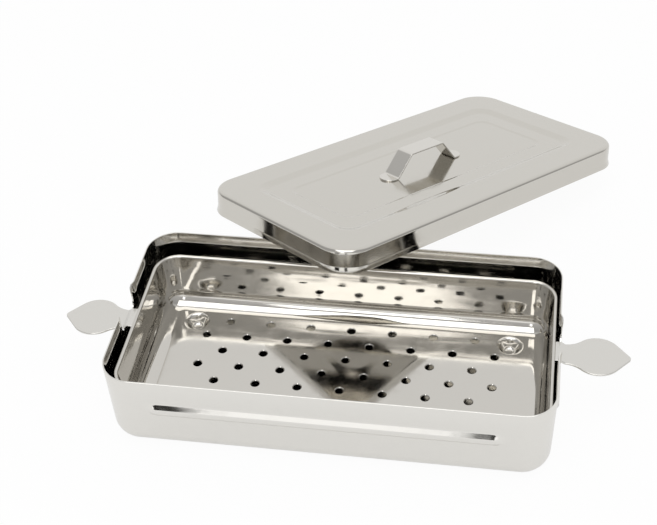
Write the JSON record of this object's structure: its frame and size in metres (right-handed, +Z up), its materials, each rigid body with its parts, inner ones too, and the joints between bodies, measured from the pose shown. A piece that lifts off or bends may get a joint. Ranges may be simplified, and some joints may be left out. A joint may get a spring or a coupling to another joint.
{
  "type": "sterilization container",
  "caption": "Polished stainless instrument container: a deep pan, a perforated lift-out tray with leaf handles, and a lid with a strap handle, taken off and leaning.",
  "frame": {"origin": "centre of the pan's flat underside, on the table", "axes": "+Z up, +X along the pan towards the right handle, +Y to the rear, where the lid leans"},
  "size_m": [0.3318, 0.3565, 0.0775],
  "materials": {
    "pan_steel": "polished stainless steel",
    "tray_steel": "polished stainless steel",
    "tray_handle_steel": "polished stainless steel",
    "lid_steel": "polished stainless steel",
    "lid_handle_steel": "polished stainless steel"
  },
  "bodies": {
    "pan": {"outer_pan": "pan_steel"},
    "tray": {"perforated_tray": "tray_steel", "tray_handle_right": "tray_handle_steel", "tray_handle_left": "tray_handle_steel"},
    "lid": {"lid_cover": "lid_steel", "lid_handle": "lid_handle_steel"}
  },
  "joints": [
    {"name": "tray_lift", "type": "slide", "parent": "pan", "child": "tray", "axis": [0, 0, 1], "range_m": [0, 0.1]},
    {"name": "lid_lift", "type": "slide", "parent": "tray", "child": "lid", "axis": [0, 0, 1], "range_m": [0, 0.15]}
  ]
}
